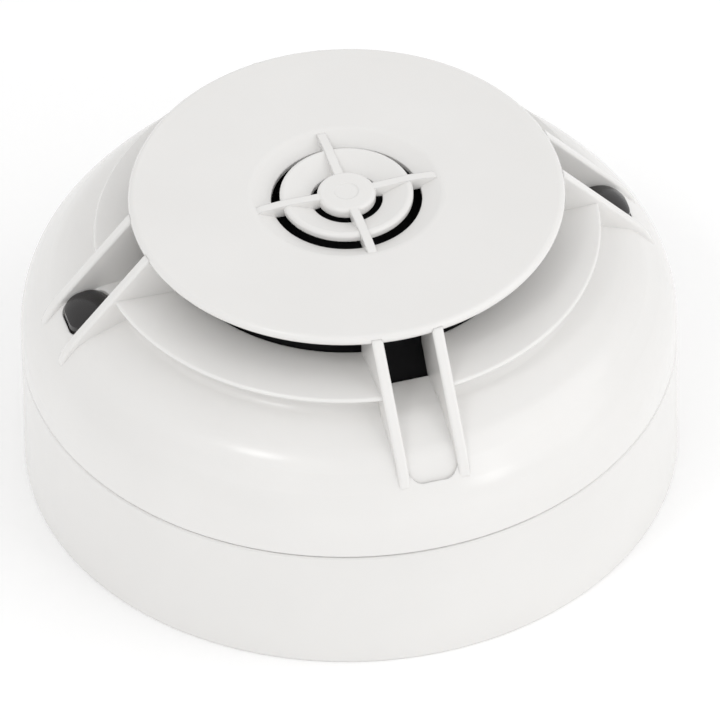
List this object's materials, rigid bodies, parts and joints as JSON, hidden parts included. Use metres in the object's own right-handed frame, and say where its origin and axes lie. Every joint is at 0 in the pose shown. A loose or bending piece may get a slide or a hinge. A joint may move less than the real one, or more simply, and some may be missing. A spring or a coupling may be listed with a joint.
{
  "type": "heat detector",
  "caption": "Low-profile heat detector head twisted into a round mounting base, with a finned dome, a raised disc with a central grille and two smoked status lenses.",
  "frame": {"origin": "centre of the mounting base's flat back face", "axes": "+Z out of the back face towards the grille, -Y towards the channel with no lens that faces the viewer, +X towards the right status lens"},
  "size_m": [0.102, 0.102, 0.0523],
  "materials": {
    "base_plastic": "satin moulded white",
    "cover_plastic": "satin moulded white",
    "black_plastic": "matte moulded black",
    "smoked_lens": "polished smoked",
    "contact_metal": "sprung brass",
    "plated_steel": "bright zinc plated",
    "board_laminate": "green solder resist",
    "component_black": "moulded epoxy",
    "reed_glass": "clear",
    "led_resin": "clear red",
    "bead_resin": "dipped dark resin",
    "dial_plastic": "moulded orange"
  },
  "bodies": {
    "base": {"mounting_base": "base_plastic", "contact_springs": "contact_metal", "clamp_plates": "plated_steel", "terminal_screws": "plated_steel"},
    "head": {"outer_cover": "cover_plastic", "top_disc": "cover_plastic", "sensor_cage": "black_plastic", "chassis": "base_plastic", "contact_blades": "contact_metal", "circuit_board": "board_laminate", "board_screws": "plated_steel", "cover_screws": "plated_steel", "microcontroller": "component_black", "crystal": "plated_steel", "storage_capacitors": "component_black", "bridge_rectifier": "component_black", "surge_suppressor": "component_black", "reed_switch": "reed_glass", "led_left": "led_resin", "led_right": "led_resin", "lens_left": "smoked_lens", "lens_right": "smoked_lens", "lead_guides": "black_plastic", "thermistor_leads": "contact_metal", "thermistor_beads": "bead_resin", "address_switch_tens": "component_black", "address_switch_units": "component_black"},
    "dial_tens": {"address_dial_tens": "dial_plastic"},
    "dial_units": {"address_dial_units": "dial_plastic"}
  },
  "joints": [
    {"name": "head_twist", "type": "hinge", "parent": "base", "child": "head", "pos_m": [0, 0, 0.014], "axis": [0, 0, 1], "range_deg": [0, 16]},
    {"name": "tens_dial_turn", "type": "hinge", "parent": "head", "child": "dial_tens", "pos_m": [-0.0085, 0, 0.0133], "axis": [0, 0, -1], "continuous": true},
    {"name": "units_dial_turn", "type": "hinge", "parent": "head", "child": "dial_units", "pos_m": [0.0085, 0, 0.0133], "axis": [0, 0, -1], "continuous": true}
  ]
}
